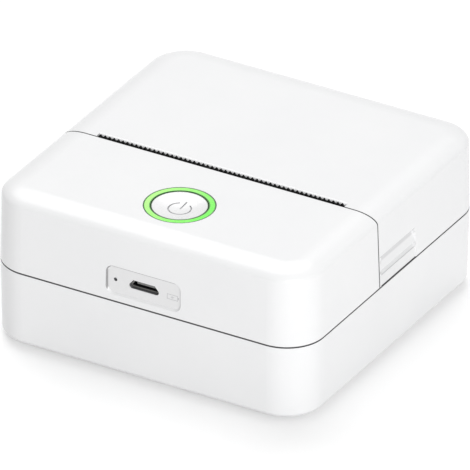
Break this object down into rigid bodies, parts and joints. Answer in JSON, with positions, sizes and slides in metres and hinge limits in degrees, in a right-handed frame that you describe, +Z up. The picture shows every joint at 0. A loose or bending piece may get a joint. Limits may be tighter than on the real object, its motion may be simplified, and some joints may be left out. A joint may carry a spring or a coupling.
{
  "type": "pocket printer",
  "caption": "Small square thermal printer: white base, front casing with ring-lit button and charging port, toothed tear bar and a hinged rear cover over a paper bay.",
  "frame": {"origin": "middle of the printer's outline, on the surface that its feet stand on", "axes": "+X to the printer's right, +Y from the port side to the hinge side, +Z up"},
  "size_m": [0.084, 0.085, 0.0398],
  "materials": {
    "white_shell": "satin white ABS",
    "button_cap": "satin white ABS",
    "light_guide": "green translucent light guide",
    "black_bar": "black, matt",
    "steel": "ground",
    "screw_steel": "zinc plated",
    "steel_plated": "nickel plated",
    "zinc_steel": "zinc plated can",
    "spring_steel": "bright spring steel",
    "bush": "acetal",
    "gear_plastic": "acetal, natural white",
    "brass": "hobbed",
    "roller_rubber": "ground silicone rubber",
    "black_plastic": "moulded, fine grain",
    "aluminium": "milled",
    "ceramic": "glazed strip",
    "flex_film": "polyimide film",
    "socket_plastic": "moulded",
    "grey_plastic": "fine grain",
    "board": "green solder mask",
    "plunger": "moulded",
    "lamp": "small lamp",
    "clear_pipe": "clear acrylic",
    "chip": "epoxy",
    "cell_wrap": "foil pouch",
    "foot_rubber": "grey rubber"
  },
  "bodies": {
    "housing": {"base_shell": "white_shell", "front_casing": "white_shell", "tear_bar": "black_bar", "gear_axle": "steel", "motor_body": "zinc_steel", "mechanism_frame": "black_plastic", "head_pivot": "steel", "head_spring": "spring_steel", "head_flex": "flex_film", "head_flex_socket": "socket_plastic", "paper_tray": "grey_plastic", "paper_sensor": "black_plastic", "light_ring": "light_guide", "button_board": "board", "tact_switch": "black_plastic", "ring_lamps": "lamp", "button_flex": "flex_film", "button_flex_socket": "socket_plastic", "main_board": "board", "usb_receptacle": "steel_plated", "charge_light_pipe": "clear_pipe", "charge_lamp": "lamp", "driver_chip": "chip", "battery_pack": "cell_wrap", "battery_socket": "socket_plastic", "foot_front_right": "foot_rubber", "foot_front_left": "foot_rubber", "foot_rear_right": "foot_rubber", "foot_rear_left": "foot_rubber", "case_screws": "screw_steel", "board_screws": "screw_steel", "tray_screws": "screw_steel", "frame_screws": "screw_steel", "button_screws": "screw_steel"},
    "cover": {"rear_cover": "white_shell", "hinge_pin_right": "steel", "hinge_pin_left": "steel", "platen_bush_right": "bush", "platen_bush_left": "bush"},
    "platen": {"platen_shaft": "steel", "platen_rubber": "roller_rubber", "platen_gear": "gear_plastic"},
    "feed_gear": {"compound_gear": "gear_plastic"},
    "motor_rotor": {"motor_shaft": "steel", "motor_pinion": "brass"},
    "print_head": {"head_plate": "aluminium", "head_ceramic": "ceramic"},
    "button": {"power_button": "button_cap"},
    "switch": {"switch_plunger": "plunger"}
  },
  "joints": [
    {"name": "cover_hinge", "type": "hinge", "parent": "housing", "child": "cover", "pos_m": [0, 0.0385, 0.0242], "axis": [-1, 0, 0], "range_deg": [0, 90]},
    {"name": "platen_spin", "type": "hinge", "parent": "cover", "child": "platen", "pos_m": [0, -0.0032, 0.0328], "axis": [1, 0, 0], "continuous": true},
    {"name": "feed_gear_spin", "type": "hinge", "parent": "housing", "child": "feed_gear", "pos_m": [0, -0.00472, 0.02543], "axis": [1, 0, 0], "continuous": true},
    {"name": "motor_spin", "type": "hinge", "parent": "housing", "child": "motor_rotor", "pos_m": [0, -0.01149, 0.01736], "axis": [1, 0, 0], "continuous": true},
    {"name": "head_tilt", "type": "hinge", "parent": "housing", "child": "print_head", "pos_m": [0, -0.01168, 0.0276], "axis": [1, 0, 0], "range_deg": [0, 2.5], "stiffness_Nm_per_rad": 0.5, "springref_deg": -5.73, "deforming": ["head_spring", "head_flex"]},
    {"name": "button_press", "type": "slide", "parent": "housing", "child": "button", "axis": [0, 0, -1], "range_m": [0, 0.0003], "stiffness_N_per_m": 2000, "springref_m": -0.0001},
    {"name": "switch_press", "type": "slide", "parent": "housing", "child": "switch", "axis": [0, 0, -1], "range_m": [0, 0.0003]}
  ],
  "couplings": [
    {"joint": "feed_gear_spin", "follows": "platen_spin", "ratio": -1.1429},
    {"joint": "motor_spin", "follows": "platen_spin", "ratio": 3.6571},
    {"joint": "switch_press", "follows": "button_press", "ratio": 1}
  ]
}
